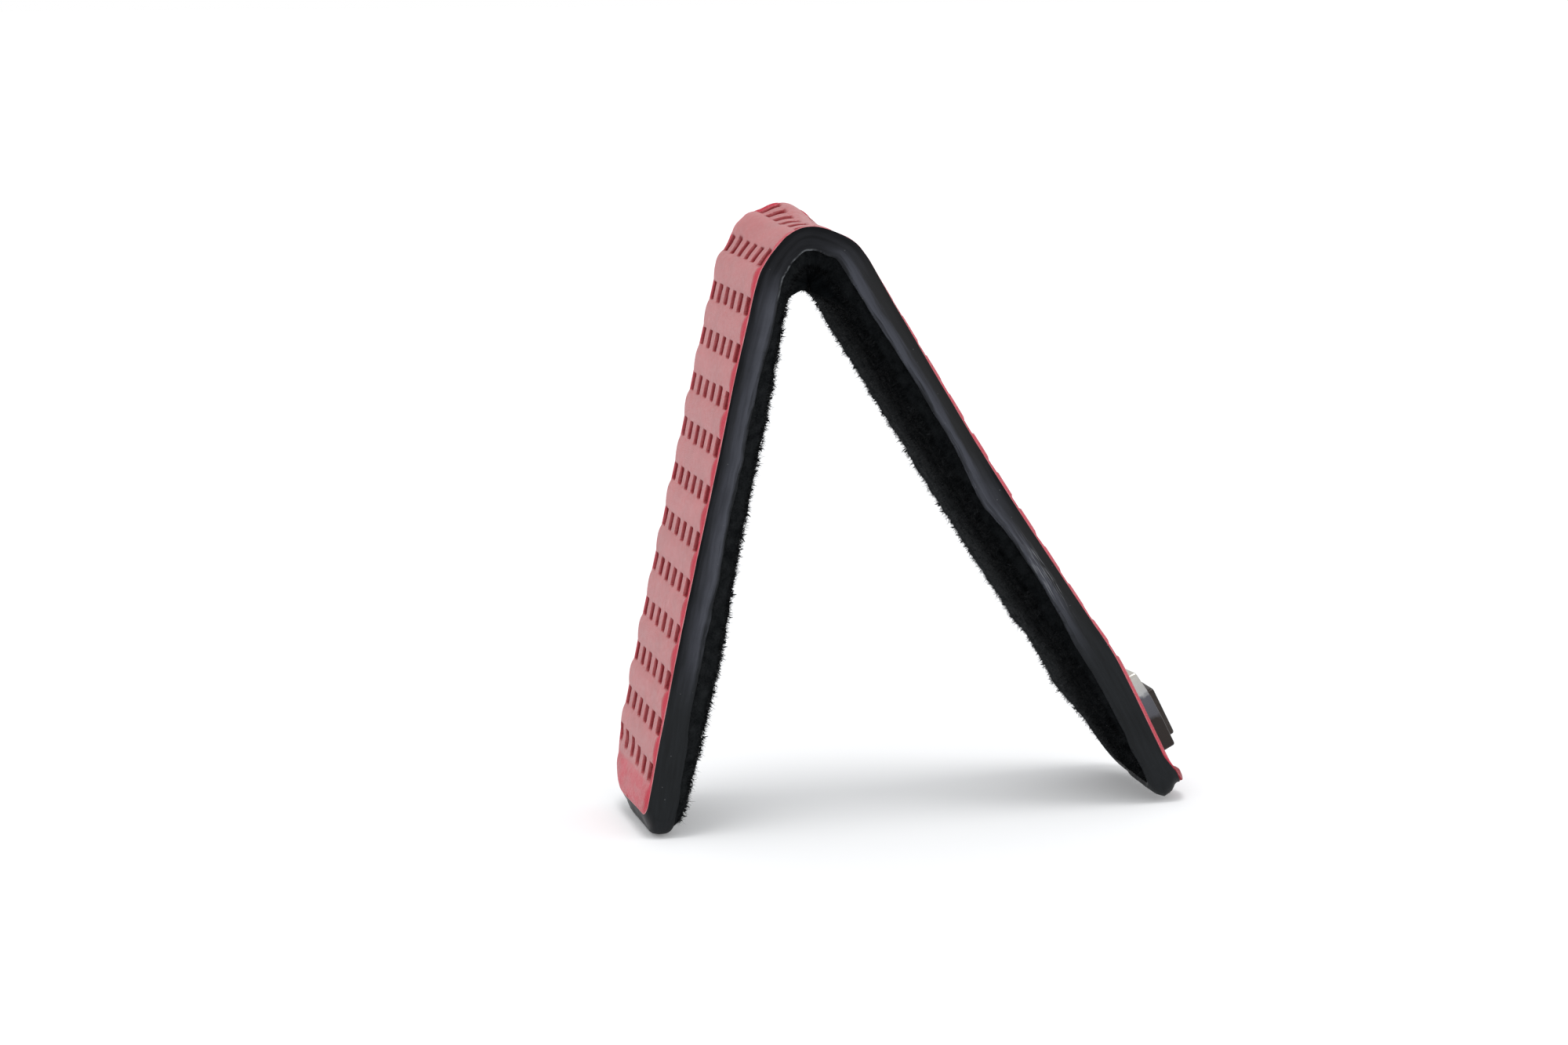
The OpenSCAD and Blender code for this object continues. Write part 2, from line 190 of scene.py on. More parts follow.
def show(obj):
    bpy.context.scene.collection.objects.link(obj)


def build(name, verts, faces, uv, attributes, material):
    """A mesh object in metres with a UV per vertex and named point values."""
    me = bpy.data.meshes.new(name)
    me.from_pydata(verts.tolist(), [], faces)
    layer = me.uv_layers.new(name="UVMap")
    index = np.zeros(len(me.loops), np.int32)
    me.loops.foreach_get("vertex_index", index)
    layer.data.foreach_set("uv", np.asarray(uv, np.float32)[index].ravel())
    for key, values in attributes.items():
        layer = me.attributes.new(key, "FLOAT", "POINT")
        layer.data.foreach_set("value", np.asarray(values, np.float32))
    bm = bmesh.new()
    bm.from_mesh(me)
    bmesh.ops.recalc_face_normals(bm, faces=bm.faces)
    bm.to_mesh(me)
    bm.free()
    me.polygons.foreach_set("use_smooth", np.ones(len(me.polygons), bool))
    me.materials.append(material)
    me.update()
    obj = bpy.data.objects.new(name, me)
    show(obj)
    return obj


def bend_with_fold(obj, *nodes):
    """Bakes a piece's placement into its mesh and hides the CAD nodes it stands in for."""
    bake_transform(obj)
    if nodes:
        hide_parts(*nodes)


# Materials.
class Nodes:
    """Short names for building the node tree of one material or of the world."""

    def __init__(self, owner):
        owner.use_nodes = True
        self.owner = owner
        self.tree = owner.node_tree

    def fill(self, socket, value):
        """Sets a socket to a number, a vector or a colour, or links it to an output."""
        if isinstance(value, tuple):
            socket.default_value = (*value, 1)[:len(socket.default_value)]
        elif isinstance(value, (int, float)):
            socket.default_value = value
        else:
            self.tree.links.new(value, socket)

    def add(self, kind, inputs, **values):
        node = self.tree.nodes.new(kind)
        for key, value in values.items():
            setattr(node, key, value)
        for key, value in inputs.items():
            self.fill(node.inputs[key], value)
        return node

    def put(self, name, value):
        self.fill(self.tree.nodes["Principled BSDF"].inputs[name], value)

    def coords(self, scale=(1, 1, 1), source="UV"):
        at = self.add("ShaderNodeTexCoord", {}).outputs[source]
        return self.add("ShaderNodeMapping", {"Vector": at, "Scale": scale}).outputs["Vector"]

    def noise(self, vector, scale, detail=3.0, rough=0.5):
        inputs = {"Vector": vector, "Scale": scale, "Detail": detail, "Roughness": rough}
        return self.add("ShaderNodeTexNoise", inputs).outputs["Fac"]

    def cells(self, vector, scale, feature="DISTANCE_TO_EDGE"):
        inputs = {"Vector": vector, "Scale": scale}
        return self.add("ShaderNodeTexVoronoi", inputs, feature=feature).outputs["Distance"]

    def value(self, name):
        return self.add("ShaderNodeAttribute", {}, attribute_name=name).outputs["Fac"]

    def ramp(self, fac, stops):
        node = self.add("ShaderNodeValToRGB", {"Fac": fac})
        elements = node.color_ramp.elements
        while len(elements) < len(stops):
            elements.new(0.5)
        for element, (at, colour) in zip(elements, stops):
            element.position = at
            element.color = (*colour, 1)
        return node.outputs["Color"]

    def mix(self, fac, a, b):
        return self.add("ShaderNodeMix", {0: fac, 6: a, 7: b}, data_type="RGBA").outputs[2]

    def math(self, op, a, b):
        return self.add("ShaderNodeMath", {0: a, 1: b}, operation=op).outputs[0]

    def range(self, fac, low, high, to_low, to_high):
        inputs = {"Value": fac, "From Min": low, "From Max": high, "To Min": to_low, "To Max": to_high}
        return self.add("ShaderNodeMapRange", inputs).outputs["Result"]

    def bump(self, height, strength, depth):
        """Relief of a height, with its full depth in millimetres."""
        inputs = {"Height": height, "Strength": strength, "Distance": depth * MM}
        return self.add("ShaderNodeBump", inputs).outputs["Normal"]


def leather_material():
    """Mottled red leather with painted shade in the pits, a brighter painted-light red along its rounded
    edge, and pale where worn.
    """
    reds = [(0.3, (0.375, 0.015, 0.02)), (0.55, (0.445, 0.02, 0.028)), (0.75, (0.495, 0.03, 0.039))]
    crease, blotch, speck = (0.22, 0.009, 0.018), (0.27, 0.01, 0.022), (0.62, 0.18, 0.2)
    # Painted shade for the pits, and a brighter painted-light red for the rounded edge and the front tab.
    pit_shade, lit_edge = (0.27, 0.03, 0.036), (0.6, 0.02, 0.06)
    rubbed, bare_end = (0.72, 0.36, 0.37), (0.28, 0.008, 0.02)
    m = Nodes(bpy.data.materials.new("embossed_leather"))
    uv = m.coords()
    patches = m.noise(uv, 2.2, 4)
    grain = m.cells(uv, 42)
    specks = m.noise(uv, 90, 2, 0.7)
    base = m.ramp(patches, reds)
    base = m.mix(m.range(grain, 0.0, 0.09, 0.3, 0.0), base, crease)
    base = m.mix(m.range(m.noise(uv, 24, 3, 0.6), 0.42, 0.7, 0.0, 0.2), base, blotch)
    base = m.mix(m.range(specks, 0.62, 0.8, 0.0, 0.22), base, speck)
    # Painted shade: the pits are coloured a darker red where shade falls inside them.
    base = m.mix(m.math("MULTIPLY", m.value("pit"), 0.92), base, pit_shade)
    # Painted light: a brighter, redder red along the rounded edge and on the front tab, where the curved face
    # meets the light more squarely.
    lit_edging = m.math("MULTIPLY", m.value("strip"), m.range(patches, 0.3, 0.7, 0.5, 0.9))
    base = m.mix(lit_edging, base, lit_edge)
    worn = m.math("MULTIPLY", m.value("rim"), m.range(m.noise(uv, 9, 3), 0.35, 0.6, 0.35, 0.8))
    base = m.mix(worn, base, rubbed)
    base = m.mix(m.value("bare"), base, bare_end)
    m.put("Base Color", base)
    m.put("Roughness", m.range(m.noise(uv, 14, 4), 0.3, 0.7, 0.32, 0.45))
    dull = m.math("MAXIMUM", m.value("pit"), m.math("MULTIPLY", m.value("strip"), 0.7))
    dull = m.math("MAXIMUM", dull, m.value("bare"))
    m.put("IOR", 1.95)
    m.put("Specular IOR Level", m.range(dull, 0.0, 1.0, 0.5, 0.04))
    m.put("Sheen Weight", m.range(dull, 0.0, 1.0, 0.2, 0.0))
    m.put("Sheen Roughness", 0.5)
    height = m.math("ADD", m.range(grain, 0.0, 0.2, 0.0, 1.0), m.math("MULTIPLY", specks, 0.8))
    height = m.math("ADD", height, m.math("MULTIPLY", patches, 1.5))
    m.put("Normal", m.bump(height, 0.55, 0.08))
    return m.owner


def paint_material():
    """Black edge paint with a painted highlight along its middle and a painted glint inside the fold, with
    streaks, scratches and lint.
    """
    # Painted highlight: the front and back ramps turn lighter grey along the bead's middle, where the convex
    # bead would reflect the bright room.
    front = [(0.04, (0.0072, 0.0077, 0.0088)), (0.25, (0.021, 0.0222, 0.0265)), (0.5, (0.039, 0.041, 0.051)),
             (0.79, (0.066, 0.069, 0.084)), (0.97, (0.013, 0.0142, 0.0165))]
    back = [(0.06, (0.012, 0.0122, 0.0125)), (0.48, (0.02, 0.0202, 0.0215)), (0.66, (0.05, 0.052, 0.064)),
            (0.84, (0.062, 0.065, 0.08)), (0.99, (0.013, 0.0142, 0.0165))]
    fold = [(0.3, (0.006, 0.0063, 0.007)), (0.7, (0.015, 0.0155, 0.0175))]
    foot = [(0.3, (0.0088, 0.0099, 0.0109)), (0.7, (0.016, 0.018, 0.0203))]
    blotch, glint = (0.0085, 0.0096, 0.0112), (0.16, 0.17, 0.18)
    scratched, lint = (0.24, 0.245, 0.26), (0.12, 0.12, 0.125)
    m = Nodes(bpy.data.materials.new("edge_paint"))
    uv = m.coords()
    streak = m.noise(m.coords((0.7, 9, 1)), 2.0, 4, 0.6)
    blot = m.noise(uv, 3.1, 4)
    shade = m.math("ADD", m.value("band"), m.range(streak, 0.3, 0.7, -0.13, 0.13))
    base = m.ramp(shade, front)
    base = m.mix(m.range(blot, 0.45, 0.75, 0.0, 0.25), base, blotch)
    base = m.mix(m.value("back"), base, m.ramp(shade, back))
    base = m.mix(m.value("fold"), base, m.ramp(streak, fold))
    base = m.mix(m.value("foot"), base, m.ramp(streak, foot))
    shiny = m.math("MULTIPLY", m.value("glint"), m.range(m.noise(uv, 6, 3), 0.4, 0.65, 0.0, 1.0))
    base = m.mix(shiny, base, glint)
    scratch = m.range(m.noise(m.coords((1.2, 30, 1)), 3.0, 2), 0.52, 0.62, 0.0, 0.8)
    base = m.mix(m.math("MULTIPLY", m.value("rubbed"), scratch), base, scratched)
    base = m.mix(m.range(m.cells(uv, 7.5, "F1"), 0.035, 0.055, 0.8, 0.0), base, lint)
    m.put("Base Color", base)
    m.put("Roughness", m.range(m.math("ADD", streak, blot), 0.7, 1.3, 0.36, 0.58))
    m.put("Specular IOR Level", m.value("gloss"))
    height = m.math("ADD", m.math("MULTIPLY", streak, 1.2), m.noise(uv, 30, 3))
    m.put("Normal", m.bump(height, 0.4, 0.08))
    return m.owner


def suede_material(name, low, high, worn_low, worn_high):
    """Clumped nap between two blacks, or between two greys where it is worn."""
    m = Nodes(bpy.data.materials.new(name))
    uv = m.coords()
    clumps = m.noise(uv, 7, 5, 0.65)
    nap = m.noise(uv, 46, 3, 0.7)
    tuft = m.math("ADD", m.math("MULTIPLY", clumps, 0.65), m.math("MULTIPLY", nap, 0.35))
    fresh = m.ramp(tuft, [(0.4, low), (0.66, high)])
    worn = m.ramp(tuft, [(0.4, worn_low), (0.66, worn_high)])
    m.put("Base Color", m.mix(m.value("wear"), fresh, worn))
    m.put("Roughness", m.range(nap, 0.3, 0.7, 0.88, 1.0))
    m.put("Specular IOR Level", 0.02)
    m.put("Normal", m.bump(m.math("ADD", nap, clumps), 0.7, 0.25))
    return m.owner


def board_material():
    """Pressed fibre board with flecks."""
    m = Nodes(bpy.data.materials.new("core_board"))
    flecks = m.noise(m.coords(source="Object"), 900, 5, 0.7)
    m.put("Base Color", m.ramp(flecks, [(0.3, (0.16, 0.10, 0.065)), (0.7, (0.34, 0.25, 0.18))]))
    m.put("Roughness", m.range(flecks, 0.3, 0.7, 0.75, 0.95))
    m.put("Normal", m.bump(flecks, 0.5, 0.1))
    return m.owner


def metal_material(name, low, high, rough):
    """Brushed and slightly hazy metal between two colours."""
    m = Nodes(bpy.data.materials.new(name))
    haze = m.noise(m.coords(source="Object"), 700, 4, 0.6)
    brushed = m.noise(m.coords((1, 0.06, 1), source="Object"), 5200, 2)
    m.put("Base Color", m.ramp(haze, [(0.3, low), (0.7, high)]))
    m.put("Metallic", 1.0)
    m.put("Roughness", m.range(haze, 0.3, 0.7, *rough))
    m.put("Normal", m.bump(m.math("ADD", brushed, haze), 0.12, 0.04))
    return m.owner


def badge_material():
    """Plated metal with painted reflection: pale at its upper end, which faces the bright room, and darkened
    towards the raised step.
    """
    # Painted reflection: pale where the upper end faces the white room, near black where the metal faces
    # away.
    painted_reflections = [(0.0, (0.5, 0.48, 0.44)), (0.27, (0.38, 0.38, 0.38)), (0.32, (0.1, 0.1, 0.115)),
              (0.55, (0.085, 0.085, 0.095)), (0.62, (0.035, 0.03, 0.028))]
    m = Nodes(bpy.data.materials.new("badge_metal"))
    haze = m.noise(m.coords(source="Object"), 700, 4, 0.6)
    along = m.math("ADD", m.value("length"), m.range(haze, 0.3, 0.7, -0.03, 0.03))
    m.put("Base Color", m.ramp(along, painted_reflections))
    m.put("Metallic", 1.0)
    m.put("Roughness", m.range(haze, 0.3, 0.7, 0.18, 0.34))
    m.put("Normal", m.bump(haze, 0.12, 0.04))
    return m.owner


LEATHER = leather_material()
PAINT = paint_material()
SUEDE = suede_material("suede", (0.0004, 0.0006, 0.0008), (0.0048, 0.0058, 0.0066),
                       (0.014, 0.0158, 0.017), (0.043, 0.0455, 0.047))
NAP = suede_material("suede_nap", (0.0005, 0.0007, 0.0009), (0.012, 0.0132, 0.0142),
                     (0.02, 0.022, 0.0235), (0.078, 0.0805, 0.0825))
BOARD = board_material()
NICKEL = metal_material("magnet_steel", (0.52, 0.53, 0.55), (0.72, 0.73, 0.74), (0.22, 0.36))
PLATE = metal_material("plate_steel", (0.48, 0.49, 0.51), (0.66, 0.67, 0.68), (0.3, 0.45))
BADGE = badge_material()
# Painted reflection: the badge's raised tier is near black, standing in for dark surroundings mirrored in
# plated metal.
BADGE_DARK = metal_material("badge_dark", (0.035, 0.03, 0.028), (0.06, 0.052, 0.048), (0.2, 0.34))


# Strip grids. The plan outline is a long rectangle with round corners, tighter on the near side.
def corner_radius(y, inset):
    return np.where(y < 0, CORNER_NEAR, CORNER_FAR) - inset


def half_width(u, y, inset, ends):
    """Half width of the outline on the side of y, moved in by inset and drawn back at the ends."""
    r = corner_radius(y, inset)
    near = np.clip(np.minimum(u - ends[0], STRIP_LEN - ends[1] - u), 0, r)
    return HALF_W - inset - r + np.sqrt(r * r - (r - near) ** 2)


def round_box_distance(x, y, half_x, half_y, r):
    """Distance outside a rectangle with round corners."""
    qx, qy = np.abs(x) - half_x + r, np.abs(y) - half_y + r
    return np.hypot(np.maximum(qx, 0), np.maximum(qy, 0)) + np.minimum(np.maximum(qx, qy), 0) - r


def outline_distance(u, y, inset, ends):
    """Distance inside the outline, moved in by inset at the sides and drawn back at the ends."""
    low, high = ends[0], STRIP_LEN - ends[1]
    half_u, half_y = (high - low) / 2, HALF_W - inset
    return -round_box_distance(u - (low + high) / 2, y, half_u, half_y, corner_radius(y, inset))


def grid_quads(ids):
    return np.stack([ids[:-1, :-1], ids[1:, :-1], ids[1:, 1:], ids[:-1, 1:]], -1).reshape(-1, 4)


def grid_rim(ids):
    """Points round the edge of a grid, in order."""
    return np.concatenate([ids[0, :], ids[1:, -1], ids[-1, -2::-1], ids[-2:0:-1, 0]])


def plan_grid(inset, ends, inner_lines, across):
    """Plan positions of a grid inside the outline, and its rim loop with outward normals."""
    low, high = ends[0], STRIP_LEN - ends[1]
    long_r = CORNER_FAR - inset
    curve = long_r * (1 - np.cos(np.linspace(0, math.pi / 2, 33)))
    middle = inner_lines[(inner_lines > low + long_r + 0.02) & (inner_lines < high - long_r - 0.02)]
    along = np.concatenate([low + curve, middle, high - curve[::-1]])
    u, share = np.meshgrid(along, across, indexing="ij")
    y = share * half_width(u, share, inset, ends)
    nu, ny = u.shape
    ids = np.arange(nu * ny).reshape(nu, ny)
    loop = grid_rim(ids)
    lu, ly = u.ravel()[loop], y.ravel()[loop]
    r = corner_radius(ly, inset)
    reach = HALF_W - inset - r
    du, dy = lu - np.clip(lu, low + r, high - r), ly - np.clip(ly, -reach, reach)
    size = np.maximum(np.hypot(du, dy), 1e-9)
    out = np.stack([du / size, dy / size], -1)
    return dict(u=u.ravel(), y=y.ravel(), nu=nu, ny=ny, loop=loop, out=out, quads=grid_quads(ids))


def ring_faces(first, second):
    """Faces between two rings with the same number of points."""
    return np.stack([first, np.roll(first, -1), np.roll(second, -1), second], -1)


def closing_faces(ring, nu, ny):
    """Closes a rim loop with strips across the width."""
    far = ny + nu + ny - 3
    left = [ring[0], *ring[far + 1:][::-1], ring[far]]
    right = list(ring[ny - 1:ny - 1 + nu])
    faces = [list(ring[:ny]) + [right[1], left[1]]]
    faces += [[left[k], right[k], right[k + 1], left[k + 1]] for k in range(1, nu - 2)]
    faces.append([left[-2], right[-2]] + list(ring[ny + nu - 2:far + 1]))
    return [[int(i) for i in face] for face in faces]


def rim_ring(g, step_out, h):
    """Points beside a grid's rim, moved outward in plan and set at a height."""
    loop, out = g["loop"], g["out"]
    return np.stack([g["u"][loop] + out[:, 0] * step_out, g["y"][loop] + out[:, 1] * step_out, h], -1)


def skirted(g, top, rings):
    """Points and faces of a grid with rings hung from its rim, closed below the last one."""
    faces = g["quads"].tolist()
    previous, count = g["loop"], len(top)
    for ring in rings:
        ids = np.arange(count, count + len(ring))
        faces += ring_faces(previous, ids).tolist()
        previous, count = ids, count + len(ring)
    faces += closing_faces(previous, g["nu"], g["ny"])
    return np.concatenate([top, *rings]), faces


# Embossing of the leather: rows of pits, with crowned bands between them.
LEATHER_INSET = 0.2
LEATHER_ENDS = (1.8, -0.5)
FRONT_SLANT = -0.4
PIT_FLOOR, UNDERSIDE = -1.1, -1.24
PIT_L, PIT_W, PIT_ROUND, PIT_DEPTH = 2.2, 1.56, 0.25, 0.72
ROW_PITCH, FRONT_ROWS, BACK_ROWS = 5.75, 11, 13
COLUMNS, COL_PITCH, EDGE_MARGIN = 6, 3.34, 1.65
FOLD_LEAD = 1.1
FOLD_ROWS = [71.0, 77.9, 83.2]
FOLD_STRETCH = 0.16
FIRST_ROW_LEAN = 1.0
NEAR_STRETCH = 0.16
ROWS = sorted(
    [FOLD_FROM - FOLD_LEAD - (k + 0.5) * ROW_PITCH for k in range(FRONT_ROWS)]
    + FOLD_ROWS
    + [FOLD_TO + (k + 0.5) * ROW_PITCH for k in range(BACK_ROWS)]
)
COLS = [c * COL_PITCH - HALF_W + EDGE_MARGIN for c in range(COLUMNS)]
VALLEY, BAND_H, END_H, RIM_H = -0.30, 0.30, 0.26, 0.16
BAND_SEED, PIT_SEED = 3, 5

# Seat of the badge in the leather, which has no pits.
SEAT_RIM, SEAT_SIDE, SEAT_FADE, SEAT_H = 0.6, 0.3, 0.5, -0.02
SEAT_FROM = STRIP_LEN - BADGE_END - BADGE_L - SEAT_RIM
SEAT_TO = STRIP_LEN - BADGE_END + SEAT_RIM
SEAT_HALF = BADGE_W / 2 + SEAT_SIDE

# Grid lines beside each row and column of pits, and along the leather's edges.
ROW_LINES = (0.0, 0.25, 0.5, 0.72, 0.86, 0.95, 1.02, 1.09, 1.18, 1.32, 1.55, 1.85, 2.15, 2.45, 2.7)
COL_LINES = (0.0, 0.22, 0.42, 0.55, 0.63, 0.70, 0.77, 0.86, 1.0, 1.2, 1.45, 1.67)
EDGE_LINES = (9.2, 9.32, 9.44, 9.55, 9.65, 9.73, 9.8)

# Rings of the leather's cut edge: step outward, drop below the rim, and share of the rim's wear.
LEATHER_SKIRT = ((0.01, 0.05, 1), (-0.02, 0.16, 0.3), (-0.05, 0.33, 0.3), (-0.12, 0.55, 0.3), (-0.2, 2, 0.3))

# Least depth of paint and suede, just below the hidden core.
COVER = 2.95

# Depth at which the paint starts below the outer face, along the strip.
RIM_DEPTH = [
    (0, 0.46), (70, 0.44), (75, 0.1), (87, 0.1), (93, 0.42), (100, 0.55), (112, 0.68), (125, 0.68),
    (133, 0.62), (140, 0.58), (150, 0.75), (161, 0.75), (163.5, 0.15), (166, 0.1),
]


def rim_drop(u):
    """How far the plain edge of the leather lies below the crowns."""
    return np.minimum(RIM_H, 0.6 * lookup(RIM_DEPTH, u))


def end_curl(u, y):
    """Lifted corner of the leather at the back end."""
    return smooth((u - STRIP_LEN + 1.6) / 1.5) * np.exp(-((y + 6.0) / 2.6) ** 2)


def band_height(u, y):
    """Height of the crowned bands; on the front arm they peak nearer the fold."""
    rows = np.array(ROWS)
    edges = np.concatenate([[rows[0] - ROW_PITCH], rows, [rows[-1] + ROW_PITCH]])
    k = np.searchsorted(rows, u)
    start, end = edges[k] + PIT_L / 2, edges[k + 1] - PIT_L / 2
    t = (u - start) / np.maximum(end - start, 0.1)
    peak = np.where(u < FOLD_FROM + 8, 0.62, 0.5)
    share = np.clip(t, 0, 1)
    warped = np.where(share < peak, share / peak * 0.5, 0.5 + (share - peak) / (1 - peak) * 0.5)
    band = np.where((t > 0) & (t < 1), np.sin(math.pi * warped) ** 0.75, 0.0)
    crest = BAND_H + 0.25 * smooth((y - 1) / 8) * np.exp(-((u - 75) / 7) ** 2)
    uneven = np.random.default_rng(BAND_SEED).uniform(0.7, 1.25, 64)[k]
    h = VALLEY + crest * band * np.minimum(uneven, 1.15)
    past_rows = np.where(u < rows[0], rows[0] - u, u - rows[-1]) - PIT_L / 2
    return np.where(past_rows > 0, VALLEY + END_H * smooth(past_rows / 1.6), h)


def under_badge(row, column):
    return SEAT_FROM - PIT_L < row < SEAT_TO + PIT_L and abs(column) < SEAT_HALF + PIT_W / 2


def pit_distance(u, y, row, column, jolt):
    """Distance outside one pit, which is a little off its place, size and direction."""
    du, dy, longer, wider, turn, _ = jolt
    lean = FIRST_ROW_LEAN * smooth((column + HALF_W) / (2 * HALF_W)) * (row == ROWS[0])
    near_side = NEAR_STRETCH * (column == COLS[0])
    x, z = u - row - lean - 0.05 * du, y - column - 0.04 * dy
    turn *= 0.035
    x, z = x + turn * z, z - turn * x
    half_l = PIT_L / 2 + 0.07 * longer + FOLD_STRETCH * (FOLD_FROM < row < FOLD_TO)
    half_w = PIT_W / 2 + 0.05 * wider + 0.8 * near_side
    return round_box_distance(x, z + near_side, half_l, half_w, PIT_ROUND)


def press_pits(u, y, h):
    """Presses the pits into a height, and tells how far each point is inside one."""
    h, pit = h.copy(), np.zeros_like(h)
    dice = np.random.default_rng(PIT_SEED)
    for row in ROWS:
        near = np.abs(u - row) < PIT_L
        for column in COLS:
            jolt = dice.uniform(-1, 1, 6)
            if under_badge(row, column):
                continue
            pick = near & (np.abs(y - column) < PIT_W)
            d = pit_distance(u[pick], y[pick], row, column, jolt)
            depth = PIT_DEPTH + 0.06 * jolt[5]
            h[pick] = np.maximum(h[pick] - depth * smooth((0.05 - d) / 0.17), PIT_FLOOR)
            # This share also sets the painted shade in the pits' colour.
            pit[pick] = np.maximum(pit[pick], smooth((0.07 - d) / 0.09))
    return h, pit


def badge_seat(u, y):
    """1 where the badge sits, falling to 0 beside it."""
    seat = smooth((u - SEAT_FROM + SEAT_FADE) / SEAT_FADE) * smooth((SEAT_TO + SEAT_FADE - u) / SEAT_FADE)
    return seat * smooth((SEAT_HALF + SEAT_FADE - np.abs(y)) / SEAT_FADE)


def leather_height(u, y):
    """Height of the leather's face, how far a point is inside a pit, and how far from the edge."""
    h, pit = press_pits(u, y, band_height(u, y))
    d = outline_distance(u, y, LEATHER_INSET, LEATHER_ENDS)
    fade = np.where(y < 0, 1.0, 0.3) + 1.5 * smooth((u - FOLD_TO) / 10)
    even = smooth((fade - d) / (fade * 0.8)) * (1 - pit)
    h = h * (1 - even) - rim_drop(u) * even
    seat = badge_seat(u, y)
    h = h * (1 - seat) + SEAT_H * seat
    h = h + 1.2 * end_curl(u, y) + 0.02 * value_noise(u * 0.6, y * 0.6, seed=21)
    h = h - (lookup(RIM_DEPTH, u) - rim_drop(u)) * np.clip(1 - d / 0.95, 0, 1) ** 2
    return h, pit, d


def front_tab(u, y):
    """Bare red of the leather below its first row of pits, in uneven streaks; it takes the brighter
    painted-light red of the edge.
    """
    return smooth((6.1 - u) / 0.7) * (0.75 + 0.5 * value_noise(u * 1.3, y * 0.5, seed=22))


def slant(u, y):
    """Shift along the strip that sets the leather's front end askew."""
    return FRONT_SLANT * smooth((y + 9) / 18) * smooth((6.5 - u) / 4)


def grid_lines(centres, offsets, more, gap, limit=math.inf):
    """Sorted lines on both sides of each centre, and more beside them, none closer than a gap."""
    beside = [np.array(centres) + side * offset for offset in offsets for side in (-1, 1)]
    lines = np.unique(np.round(np.concatenate([*beside, more]), 4))
    lines = lines[np.abs(lines) <= limit]
    return lines[np.concatenate([[True], np.diff(lines) > gap])]


def leather_grid():
    ends = np.concatenate([np.linspace(1, ROWS[0] - 3, 12), np.linspace(ROWS[-1] + 3, STRIP_LEN - 1, 16)])
    along = grid_lines(ROWS, ROW_LINES, ends, 0.05)
    half = HALF_W - LEATHER_INSET
    across = grid_lines(COLS, COL_LINES, np.outer((-1, 1), EDGE_LINES).ravel(), 0.045, half)
    return plan_grid(LEATHER_INSET, LEATHER_ENDS, along, across / half)


def leather():
    """The outer leather, one embossed sheet over both arms."""
    g = leather_grid()
    u, y, loop = g["u"], g["y"], g["loop"]
    h, pit, d = leather_height(u, y)
    worn = smooth((0.11 - d) / 0.1) * smooth((STRIP_LEN - 5 - u) / 2) * (1 - 0.5 * smooth((u - FOLD_TO) / 8))
    # Painted light: where the brighter red of the rounded edge and the front tab goes.
    lit_edge = np.maximum(smooth((1.0 - d) / 0.6), front_tab(u, y)) * (1 - pit)
    bare = smooth((u - STRIP_LEN + 2.8) / 1.2)
    values = {"pit": [pit], "rim": [worn], "strip": [lit_edge], "bare": [bare]}
    below = UNDERSIDE - 0.6 * fold_lift(u[loop])
    rings = []
    for step_out, drop, wear_share in LEATHER_SKIRT:
        rings.append(rim_ring(g, step_out, np.maximum(h[loop] - drop, below)))
        for key, share in (("pit", 0.5), ("rim", wear_share), ("strip", 1.0), ("bare", 1.0)):
            values[key].append(share * values[key][0][loop])
    flat, faces = skirted(g, np.stack([u, y, h], -1), rings)
    uv = flat[:, :2] / UV_SIZE
    flat[:, 0] += slant(flat[:, 0], flat[:, 1])
    values = {key: np.concatenate(parts) for key, parts in values.items()}
    obj = build("leather_strip", place(*flat.T), faces, uv, values, LEATHER)
    bend_with_fold(obj, "front_leather", "fold_leather", "back_leather")


# Painted edge, a bead round the whole outline.
OUTLINE_STEP = 0.3

# How far down the band each ring of the bead lies, as a share.
BEAD_RINGS = (0, 0.04, 0.1, 0.17, 0.25, 0.34, 0.44, 0.54, 0.64, 0.74, 0.83, 0.90, 0.955, 0.985, 1.0)

# Toe profiles: how far the painted end draws back, from the leather's side to the suede's.
FRONT_TOE = [
    (0, LEATHER_ENDS[0] - LEATHER_INSET), (0.03, 1.4), (0.11, 1), (0.17, 0.72), (0.22, 0.36), (0.37, -0.4),
    (0.64, -0.4), (0.85, -0.25), (0.95, -0.1), (1, 0.12),
]
BACK_TOE = [
    (0, LEATHER_ENDS[1] - LEATHER_INSET), (0.03, -0.6), (0.11, -0.55), (0.17, -0.6), (0.22, -0.75),
    (0.37, -1.15), (0.64, -1.2), (0.85, -0.35), (0.95, 0.4), (1, 0.9),
]


def outline_side(start, end, normal):
    """Points and outward normals of one straight side of the outline."""
    n = max(2, int(math.dist(start, end) / OUTLINE_STEP))
    t = np.arange(n)[:, None] / n
    at = np.array(start) * (1 - t) + np.array(end) * t
    return np.hstack([at, np.tile(normal, (n, 1))])


def outline_corner(u, y, r, first):
    """Points and outward normals of one quarter round, from its first angle."""
    n = max(8, int(r * math.pi / 2 / (OUTLINE_STEP * 0.7)))
    way = unit(first + np.arange(n) / n * math.pi / 2)
    return np.hstack([np.array([u, y]) + r * way, way])


